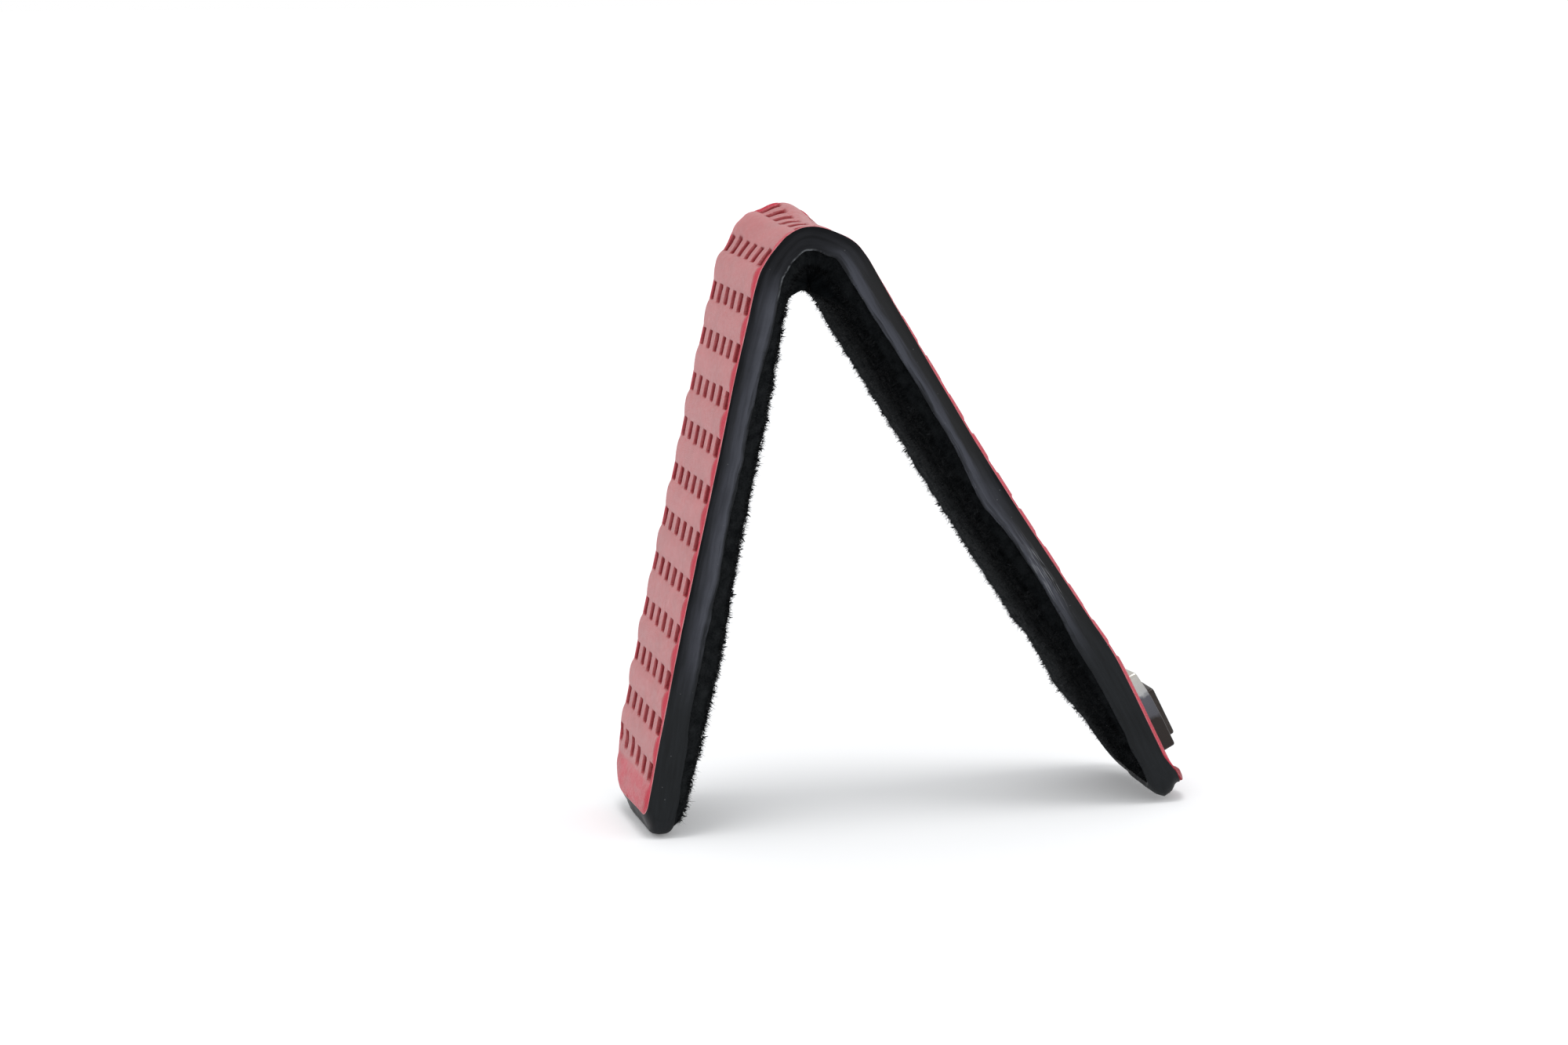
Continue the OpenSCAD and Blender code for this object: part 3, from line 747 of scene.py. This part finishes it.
def outline_loop():
    """Points of the full outline in order, with outward normals and distance along it."""
    a, b = CORNER_NEAR, CORNER_FAR
    low, high, end = a - HALF_W, HALF_W - b, STRIP_LEN
    p = np.concatenate([
        outline_side((a, -HALF_W), (end - a, -HALF_W), (0, -1)),
        outline_corner(end - a, low, a, -math.pi / 2),
        outline_side((end, low), (end, high), (1, 0)),
        outline_corner(end - b, high, b, 0),
        outline_side((end - b, HALF_W), (b, HALF_W), (0, 1)),
        outline_corner(b, high, b, math.pi / 2),
        outline_side((0, high), (0, low), (-1, 0)),
        outline_corner(a, low, a, math.pi),
    ])
    move = np.hypot(*(np.roll(p[:, :2], -1, 0) - p[:, :2]).T)
    return p, np.concatenate([[0], np.cumsum(move)[:-1]]), move.sum()


def loop_wander(s, total, seed, cell):
    """Noise along a closed loop."""
    a = s / total * 2 * math.pi
    r = total / (2 * math.pi) / cell
    return value_noise(100 + r * np.cos(a), 100 + r * np.sin(a), seed)


def far_taper(u, y):
    """How much thinner the lining side is at the far corner of the back end."""
    return 0.8 * smooth((u - 152) / 8) * smooth((y + 4) / 10)


def paint_edge(p, s, total):
    """Depth at which the painted band meets the suede."""
    u, y = p[:, 0], p[:, 1]
    near_tip = np.minimum(u, STRIP_LEN - u)
    wide = 0.6 * smooth((22 - near_tip) / 16) + 0.5 * np.exp(-((u - 120) / 4.5) ** 2)
    wide = wide + 0.85 * np.exp(-((u - 146) / 7) ** 2) - 0.25 * np.exp(-((u - 102) / 9) ** 2)
    wide = wide - far_taper(u, y)
    fold = 0.35 * smooth(1 - np.abs(u - FOLD_MID) / 12)
    sway = 0.40 - 0.2 * smooth((u - FOLD_TO) / 6)
    wander = sway * loop_wander(s, total, seed=31, cell=9) + 0.15 * loop_wander(s, total, seed=32, cell=2.2)
    return np.maximum(3.45 + wide - fold + wander, COVER + bow(u))


def toe(u, front, back):
    """Moves points near each end of the strip inward along it, by that end's amount."""
    return u + front * smooth((12 - u) / 9) - back * smooth((12 - (STRIP_LEN - u)) / 9)


def bead_rings(edge, top, lump):
    """Rings of the bead's section: how far out and how deep each is, and its share of the band."""
    flat = np.zeros(len(edge))
    start = top + 0.03
    rings = [(flat - 0.55, top + 0.4, 0.0), (flat - 0.24, top + 0.015, 0.0)]
    for x in BEAD_RINGS:
        bulge = -0.18 * (1 - x) ** 4 - 0.07 * x**3 - 0.05 * smooth((x - 0.9) / 0.1)
        rings.append((bulge + lump * math.sin(math.pi * x), start + (edge - start) * x, x))
    return rings + [(flat - 0.22, edge + 0.02, 1), (flat - 0.5, edge - 0.05, 1), (flat - 0.62, edge - 0.9, 1)]


def bead_values(u, x):
    """Values that colour one ring of the bead, by place along the strip and down the band."""
    foot = np.maximum(smooth((25 - u) / 11), smooth((u - STRIP_LEN + 33) / 15))
    fold = 0.9 * smooth((u - FOLD_FROM + 5) / 8) * smooth((FOLD_TO + 3 - u) / 9)
    back = smooth((u - FOLD_TO + 6) / 12) * (1 - 0.8 * np.exp(-((u - 120) / 4) ** 2))
    in_fold = smooth((u - FOLD_FROM + 4) / 4) * smooth((FOLD_TO - 2 - u) / 6)
    shine = 0.03 + 0.08 * np.maximum(np.maximum(back, foot), smooth(x / 0.4))
    return {
        "band": np.full(len(u), x),
        "foot": foot,
        "back": back,
        "fold": fold,
        "glint": in_fold * (0.94 < x < 0.99),
        "gloss": shine * (1 - 0.6 * fold),
        "rubbed": np.exp(-((u - 132) / 4) ** 2) * (0.4 < x < 0.92),
    }


def paint():
    """The painted edge, one bead with uneven borders."""
    p, s, total = outline_loop()
    at, y, out_u, out_y = p.T
    edge = paint_edge(p, s, total)
    top = lookup(RIM_DEPTH, at) + 0.03 * loop_wander(s, total, seed=33, cell=3)
    rings = bead_rings(edge, top, 0.03 * loop_wander(s, total, seed=34, cell=4))
    n = len(s)
    verts, faces, uv, values = [], [], [], []
    for i, (out, depth, x) in enumerate(rings):
        u = toe(at + out_u * out, lookup(FRONT_TOE, x), lookup(BACK_TOE, x))
        u = u + slant(at, y) * max(0.0, 1 - x / 0.2)
        verts.append(place(u, y + out_y * out, -depth))
        uv.append(np.stack([s / UV_SIZE, np.full(n, x * 0.3)], -1))
        values.append(bead_values(at, x))
        following = (i + 1) % len(rings)
        faces += ring_faces(np.arange(n) + i * n, np.arange(n) + following * n).tolist()
    verts, uv = np.concatenate(verts), np.concatenate(uv)
    values = {key: np.concatenate([ring[key] for ring in values]) for key in values[0]}
    obj = build("edge_paint_bead", verts, faces, uv, values, PAINT)
    nodes = ("front_edge_coat", "fold_edge_coat_near", "fold_edge_coat_far", "back_edge_coat")
    bend_with_fold(obj, *nodes)


# Suede lining.
SUEDE_INSET = 0.62
SUEDE_ENDS = (1.1, 1.9)
SUEDE_STEP, SUEDE_ARC_LINES, SUEDE_ACROSS = 0.27, 90, 82
SUEDE_ROOT = 2.35

# Depth of the suede's inner face along the strip, without the lobes in the fold.
SUEDE_DEPTH = [
    (0, 4.6), (3.5, 5.2), (8, 5.4), (12, 5.6), (18, 5.75), (25, 5.75), (35, 5.45), (45, 5.25), (52, 5.45),
    (60, 5.1), (66, 4.84), (86, 4.84), (93, 4.95), (99, 5.15), (104, 5.25), (108, 5.35), (116, 5.3),
    (122, 5.5), (128, 5.45), (139, 5.5), (143, 5.3), (146, 5.2), (152, 5), (158, 4.4), (163, 3.8), (166, 3.6),
]

# Rings of the suede's cut side: step outward, and share of the way to its root.
SUEDE_SIDE = ((0.22, 0.07), (0.37, 0.16), (0.44, 0.30), (0.42, 0.48), (0.38, 0.66), (0.34, 0.84), (0.30, 1.0))


def suede_depth(u, y):
    """Depth of the suede's inner face, with two lobes that meet inside the fold."""
    thick = lookup(SUEDE_DEPTH, u) - far_taper(u, y)
    thick = thick + 0.18 * value_noise(u * 0.22, y * 0.22, seed=41)
    thick = thick + 0.22 * value_noise(u * 0.9, y * 0.9, seed=42)
    down = np.maximum(np.maximum((FOLD_FROM - u) * 2.2, u - FOLD_TO), 0)
    x = (u - FOLD_MID) / (FOLD_TO - FOLD_FROM)
    uneven = 1 + 0.16 * value_noise(u * 0.12, y * 0.35, seed=43)
    bunched = 2.75 * uneven * np.exp(-(down / 3.4) ** 2) - 0.7 * np.exp(-(x / 0.10) ** 2)
    lobe = smooth((9.9 - np.abs(y)) / 2.6) * bunched + 0.35 * np.exp(-(down / 4) ** 2)
    beside_fold = np.maximum(np.maximum(FOLD_FROM - u, u - FOLD_TO), 0)
    limit = 7.05 + beside_fold * math.tan(math.pi / 2 - TURN / 2)
    return np.minimum(thick + lobe, limit) + 0.75 * bow(u)


def suede_wear(u, y, at_side):
    """How grey the nap is rubbed, on the front arm's cut side and the back arm's far half."""
    front = 0.1 + 0.26 * at_side
    back = 0.14 * at_side + (1 - at_side) * 1.2 * smooth((y + 5) / 14)
    return front + (back - front) * smooth((u - FOLD_MID + 2) / 4)


def suede_grid():
    front = np.arange(0.5, FOLD_FROM - 2, SUEDE_STEP)
    arc = np.linspace(FOLD_FROM - 2, FOLD_TO + 2, SUEDE_ARC_LINES)
    back = np.arange(FOLD_TO + 2, STRIP_LEN, SUEDE_STEP)
    along = np.unique(np.round(np.concatenate([front, arc, back]), 4))
    return plan_grid(SUEDE_INSET, SUEDE_ENDS, along, np.linspace(-1, 1, SUEDE_ACROSS))


def suede():
    """The lining, one uneven sheet with a rough cut side."""
    g = suede_grid()
    u, y, loop = g["u"], g["y"], g["loop"]
    d = outline_distance(u, y, SUEDE_INSET, SUEDE_ENDS)
    v = suede_depth(u, y) - 0.3 * np.clip((0.9 - d) / 0.9, 0, 1) ** 2
    v = v + 0.11 * value_noise(u * 1.7, y * 1.7, seed=44) * smooth((2.5 - d) / 2)
    v = np.maximum(v, COVER + 0.08 + bow(u))
    lu, ly, lv = u[loop], y[loop], v[loop]
    side = np.concatenate([[0], np.cumsum(np.hypot(np.diff(lu), np.diff(ly)))])
    uv, wear = [np.stack([u, y], -1) / UV_SIZE], [suede_wear(u, y, smooth((0.5 - d) / 0.5) * (y < 0))]
    rings = []
    for step_out, share in SUEDE_SIDE:
        depth = lv * (1 - share) + SUEDE_ROOT * share
        rough = 0.13 * value_noise(side * 1.5, depth * 1.5, seed=45)
        rough = rough + 0.06 * value_noise(side * 0.35, depth, seed=46)
        rings.append(rim_ring(g, step_out + rough * (1 - 0.7 * share), -depth))
        uv.append(np.stack([side, depth + 12], -1) / UV_SIZE)
        wear.append(suede_wear(lu, ly, np.where(ly < 8, 1.0, 0.2)))
    flat, faces = skirted(g, np.stack([u, y, -v], -1), rings)
    values = {"wear": np.concatenate(wear)}
    obj = build("suede_lining", place(*flat.T), faces, np.concatenate(uv), values, SUEDE)
    bend_with_fold(obj, "front_lining", "fold_lining", "back_lining")


# Loose fibres on the suede: the shares on its cut side and its rim, of long ones and of wide tufts.
ON_SIDE, ON_RIM = 0.25, 0.37
LONG_SHARE, TUFT_SHARE = 0.06, 0.045
FIBRE_POINTS = 6


def normalised(v):
    return v / np.linalg.norm(v, axis=1)[:, None]


def painted_depth(u, sign):
    """Depth of the paint's lower edge on one side of the strip."""
    p, s, total = outline_loop()
    edge = paint_edge(p, s, total)
    depth = np.zeros_like(u)
    for side in (-1, 1):
        pick = p[:, 3] == side
        order = np.argsort(p[pick, 0])
        here = sign == side
        depth[here] = np.interp(u[here], p[pick, 0][order], edge[pick][order])
    return depth


def fibre_roots(dice, low, high, count):
    """Where fibres stand, on which side, and whether on the suede's cut side or its rim."""
    kind = dice.random(count)
    on_side, on_rim = kind < ON_SIDE, (kind >= ON_SIDE) & (kind < ON_SIDE + ON_RIM)
    u = dice.uniform(low, high, count)
    sign = np.where(dice.random(count) < 0.5, -1.0, 1.0)
    share = dice.uniform(-1, 1, count)
    turn = dice.random(count)
    reach = half_width(u, sign, SUEDE_INSET, SUEDE_ENDS)
    y = np.where(on_side, sign * (reach + 0.36), share * half_width(u, share, SUEDE_INSET, SUEDE_ENDS))
    y = np.where(on_rim, sign * (reach + 0.35 * turn), y)
    face = suede_depth(u, y)
    border = painted_depth(u, sign)
    v = np.where(on_side, border + np.maximum(face - 0.2 - border, 0.1) * dice.random(count) ** 2, face)
    v = np.where(on_rim, face - 0.2 - 0.5 * turn**2, v)
    return np.stack([u, y, v], -1), sign, on_side, on_rim


def fibre_sizes(dice, on_side, on_rim):
    """Length and width of each fibre."""
    count = len(on_side)
    length = np.clip(dice.lognormal(-0.95, 0.45, count), 0.15, 1.0)
    length = np.where(on_rim & (dice.random(count) < LONG_SHARE), dice.uniform(0.7, 1.2, count), length)
    length = np.where(on_side, 0.7 * length, length)
    wide = dice.uniform(0.035, 0.07, count)
    tufted = on_rim & (dice.random(count) < TUFT_SHARE)
    wide = np.where(tufted, dice.uniform(0.14, 0.3, count), wide)
    length = np.where(tufted, dice.uniform(0.4, 0.85, count), length)
    return length, wide


def fibre_blades(dice, root, push, length, wide):
    """Points of each fibre: a flat blade with one kink, narrowing to its tip."""
    head = normalised(push + dice.normal(0, 0.55, root.shape))
    tip_way = normalised(head + dice.normal(0, 0.5, root.shape))
    flat_way = normalised(np.cross(head, dice.normal(0, 1, root.shape)))
    root = root - head * 0.05
    mid = root + head * (length * 0.55)[:, None]
    tip = mid + tip_way * (length * 0.45)[:, None]
    stations = [
        at + flat_way * (side * share * wide / 2)[:, None]
        for at, share in ((root, 1.0), (mid, 0.75), (tip, 0.12))
        for side in (-1, 1)
    ]
    flat = np.stack(stations, 1).reshape(-1, 3)
    flat[:, 0] = np.clip(flat[:, 0], 0.0, STRIP_LEN)
    return flat


def nap(name, low, high, count, seed):
    """Short loose fibres standing on the suede between two places along the strip."""
    dice = np.random.default_rng(seed)
    root, sign, on_side, on_rim = fibre_roots(dice, low, high, count)
    u, y, _ = root.T
    length, wide = fibre_sizes(dice, on_side, on_rim)
    sideways = np.where(on_side, sign * 0.5, np.where(on_rim, sign * 0.2, 0.0))
    push = np.stack([0 * u, sideways, np.where(on_side, -0.7, 1.0)], -1)
    flat = fibre_blades(dice, root, push, length, wide)
    ids = np.arange(count)[:, None] * FIBRE_POINTS
    quads = np.concatenate([ids + [0, 1, 3, 2], ids + [2, 3, 5, 4]]).tolist()
    uv = np.repeat(np.stack([u, y], -1) / UV_SIZE, FIBRE_POINTS, 0)
    wear = suede_wear(u, y, np.where(y < 8, 1.0 * on_side + 0.8 * on_rim, 0.0))
    wear = wear * dice.uniform(0.2, 1.6, count)
    values = {"wear": np.repeat(wear, FIBRE_POINTS)}
    verts = place(flat[:, 0], flat[:, 1], -flat[:, 2])
    bend_with_fold(build(name, verts, quads, uv, values, NAP))


# Filler between leather and suede inside the fold.
FILLER_TOP, FILLER_LOW, FILLER_HALF = -1.4, -2.7, 9.35


def filler():
    along = np.linspace(FOLD_FROM + 0.05, FOLD_TO - 0.05, 60)
    across = np.linspace(-FILLER_HALF, FILLER_HALF, 16)
    u, y = (a.ravel() for a in np.meshgrid(along, across, indexing="ij"))
    top = FILLER_TOP - 0.04 * value_noise(u, y, seed=51)
    low = FILLER_LOW + 0.04 * value_noise(u, y, seed=52)
    ids = np.arange(u.size).reshape(len(along), len(across))
    quads, loop = grid_quads(ids), grid_rim(ids)
    faces = quads.tolist() + (quads + u.size).tolist() + ring_faces(loop, loop + u.size).tolist()
    verts = np.concatenate([place(u, y, top), place(u, y, low)])
    uv = np.tile(np.stack([u, y], -1) / UV_SIZE, (2, 1))
    obj = build("fold_board", verts, faces, uv, {}, BOARD)
    bend_with_fold(obj, "fold_filler")


# Badge, two bevelled tiers on the back arm's tip. It stands a little higher than its solids.
BADGE_RISE = 1.0
CORNER_BEVEL, CREST_BEVEL = 0.55, 0.3
SHARP_ANGLE = math.radians(35)


def tip_matrix():
    """Placement of the back arm's tip: along it, across it and out from it."""
    base, _ = spine(np.array([TIP_FROM]))
    along, out = Vector((TIP_DOWN[0], 0, TIP_DOWN[1])), Vector((TIP_OUT[0], 0, TIP_OUT[1]))
    m = Matrix((along, out.cross(along), out)).transposed().to_4x4()
    m.translation = Vector((base[0, 0], 0, base[0, 1]))
    return m


def bevelled_block(at, length, width, low, high):
    """A block with round corners and upper edge, cut up finely enough to be shaped."""
    bm = bmesh.new()
    bmesh.ops.create_cube(bm, size=1.0)
    for v in bm.verts:
        v.co = Vector((at + v.co.x * length, v.co.y * width, low + (v.co.z + 0.5) * (high - low)))
    upright = [e for e in bm.edges if abs(e.verts[0].co.z - e.verts[1].co.z) > 1e-6]
    bmesh.ops.bevel(bm, geom=upright, offset=CORNER_BEVEL, segments=5, affect="EDGES", profile=0.5)
    crest = [e for e in bm.edges if min(v.co.z for v in e.verts) > high - 1e-6]
    bmesh.ops.bevel(bm, geom=crest, offset=CREST_BEVEL, segments=4, affect="EDGES", profile=0.55)
    bmesh.ops.triangulate(bm, faces=[f for f in bm.faces if len(f.verts) > 4])
    bmesh.ops.subdivide_edges(bm, edges=bm.edges[:], cuts=2, use_grid_fill=True)
    return bm


def tier(name, at, length, width, low, high, crown, dip, material, node):
    """One tier of the badge, crowned in its middle and dipping towards its upper end."""
    bm = bevelled_block(at, length, width, low, high)
    for v in bm.verts:
        x, y, z = (v.co.x - at) / (length / 2), v.co.y / (width / 2), (v.co.z - low) / (high - low)
        v.co.z -= dip * z * min(1.0, max(0.0, (-0.15 - x) / 0.85)) * (1 + 0.5 * y)
        if z > 0.999:
            v.co.z += crown * max(0.0, 1 - x * x) * max(0.0, 1 - y * y)
    share = [(v.co.x - at) / length + 0.5 for v in bm.verts]
    bmesh.ops.transform(bm, matrix=Matrix.Scale(MM, 4) @ tip_matrix(), verts=bm.verts)
    bmesh.ops.recalc_face_normals(bm, faces=bm.faces)
    me = bpy.data.meshes.new(name)
    bm.to_mesh(me)
    bm.free()
    me.attributes.new("length", "FLOAT", "POINT").data.foreach_set("value", share)
    me.polygons.foreach_set("use_smooth", np.ones(len(me.polygons), bool))
    me.set_sharp_from_angle(angle=SHARP_ANGLE)
    me.materials.append(material)
    obj = bpy.data.objects.new(name, me)
    show(obj)
    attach(obj, "back_arm")
    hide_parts(node)


def badge():
    step = BADGE_T + BADGE_RISE
    tier("badge_lower_tier", BADGE_FAR - BADGE_L / 2, BADGE_L, BADGE_W, low=-0.06, high=step,
         crown=0.02, dip=1.15, material=BADGE, node="badge_base")
    tier("badge_upper_tier", BADGE_FAR - TOP_INSET - TOP_L / 2, TOP_L, TOP_W, low=step - 0.04,
         high=step + TOP_T, crown=0.03, dip=0.0, material=BADGE_DARK, node="badge_top")


def dress_nodes():
    """Materials of the solids that show themselves."""
    finishes = {"front_core": BOARD, "back_core": BOARD, "badge_plate": PLATE}
    for arm in ("front", "back"):
        finishes[f"{arm}_upper_magnet"] = finishes[f"{arm}_lower_magnet"] = NICKEL
    for name, material in finishes.items():
        obj = frame["nodes"][name]
        obj.data.materials.clear()
        obj.data.materials.append(material)


# Studio: the photograph's camera, a white room, a paper floor and one soft light from above.
CAMERA_YAW, CAMERA_ELEV, CAMERA_DIST = 0.2595, 0.1857, 409.988
CAMERA_TARGET = (-13.987, 0, 36.191)
SENSOR, FOCAL_PIXELS, PHOTO_PIXELS = 36, 4254.125, 2000
WHITE, ROOM_LIGHT, PAPER = (1, 1, 1), (0.97, 0.985, 1.0), (0.85, 0.85, 0.855)
ROOM_STRENGTH, FLOOR_GLOW = 0.93, 0.14
FLOOR_HALF, FLOOR_Z = 3000, -0.12
SUN_STRENGTH, SUN_SPREAD = 0.8, math.radians(20)
SUN_AT, SUN_WAY = (-200, 100, 800), (0.06, 0.08, -1.0)


def camera():
    across = math.cos(CAMERA_ELEV)
    back = Vector((-math.sin(CAMERA_YAW) * across, -math.cos(CAMERA_YAW) * across, math.sin(CAMERA_ELEV)))
    data = bpy.data.cameras.new("camera")
    data.sensor_width = SENSOR
    data.lens = FOCAL_PIXELS / PHOTO_PIXELS * SENSOR
    data.clip_start, data.clip_end = 0.01, 20
    cam = bpy.data.objects.new("camera", data)
    cam.location = (Vector(CAMERA_TARGET) + back * CAMERA_DIST) * MM
    cam.rotation_mode = "QUATERNION"
    cam.rotation_quaternion = (-back).to_track_quat("-Z", "Y")
    show(cam)
    bpy.context.scene.camera = cam


def shade_by_ray(m, lighting, seen, output):
    """One shader for rays that carry light, another for rays that show the background."""
    path = m.add("ShaderNodeLightPath", {}).outputs
    shown = m.math("MAXIMUM", path["Is Camera Ray"], path["Is Glossy Ray"])
    shown = m.math("MAXIMUM", shown, path["Is Transmission Ray"])
    mix = m.add("ShaderNodeMixShader", {0: shown, 1: lighting, 2: seen})
    m.add(output, {0: mix.outputs[0]})


def world():
    studio = bpy.data.worlds.new("studio")
    bpy.context.scene.world = studio
    m = Nodes(studio)
    m.tree.nodes.clear()
    lighting = m.add("ShaderNodeBackground", {"Color": ROOM_LIGHT, "Strength": ROOM_STRENGTH}).outputs[0]
    seen = m.add("ShaderNodeBackground", {"Color": WHITE}).outputs[0]
    shade_by_ray(m, lighting, seen, "ShaderNodeOutputWorld")


def floor_material():
    """Paper that glows a little where it is seen, to meet the white room."""
    m = Nodes(bpy.data.materials.new("floor"))
    m.tree.nodes.clear()
    paper = m.add("ShaderNodeBsdfDiffuse", {"Color": PAPER}).outputs[0]
    glow = m.add("ShaderNodeEmission", {"Color": WHITE, "Strength": FLOOR_GLOW}).outputs[0]
    both = m.add("ShaderNodeAddShader", {0: paper, 1: glow}).outputs[0]
    shade_by_ray(m, paper, both, "ShaderNodeOutputMaterial")
    return m.owner


def floor():
    me = bpy.data.meshes.new("floor")
    corners = [(x * FLOOR_HALF * MM, y * FLOOR_HALF * MM, 0) for x, y in ((-1, -1), (1, -1), (1, 1), (-1, 1))]
    me.from_pydata(corners, [], [(0, 1, 2, 3)])
    me.materials.append(floor_material())
    obj = bpy.data.objects.new("floor", me)
    obj.location.z = FLOOR_Z * MM
    show(obj)


def lights():
    data = bpy.data.lights.new("overhead", "SUN")
    data.energy = SUN_STRENGTH
    data.angle = SUN_SPREAD
    obj = bpy.data.objects.new("overhead", data)
    obj.location = Vector(SUN_AT) * MM
    obj.rotation_mode = "QUATERNION"
    obj.rotation_quaternion = Vector(SUN_WAY).to_track_quat("-Z", "Y")
    show(obj)


camera()
leather()
paint()
suede()
nap("suede_nap_front", 1.6, FOLD_MID, count=34000, seed=61)
nap("suede_nap_back", FOLD_MID, STRIP_LEN - 2.6, count=38000, seed=62)
filler()
badge()
dress_nodes()
world()
floor()
lights()
bpy.context.scene.view_settings.view_transform = "Standard"
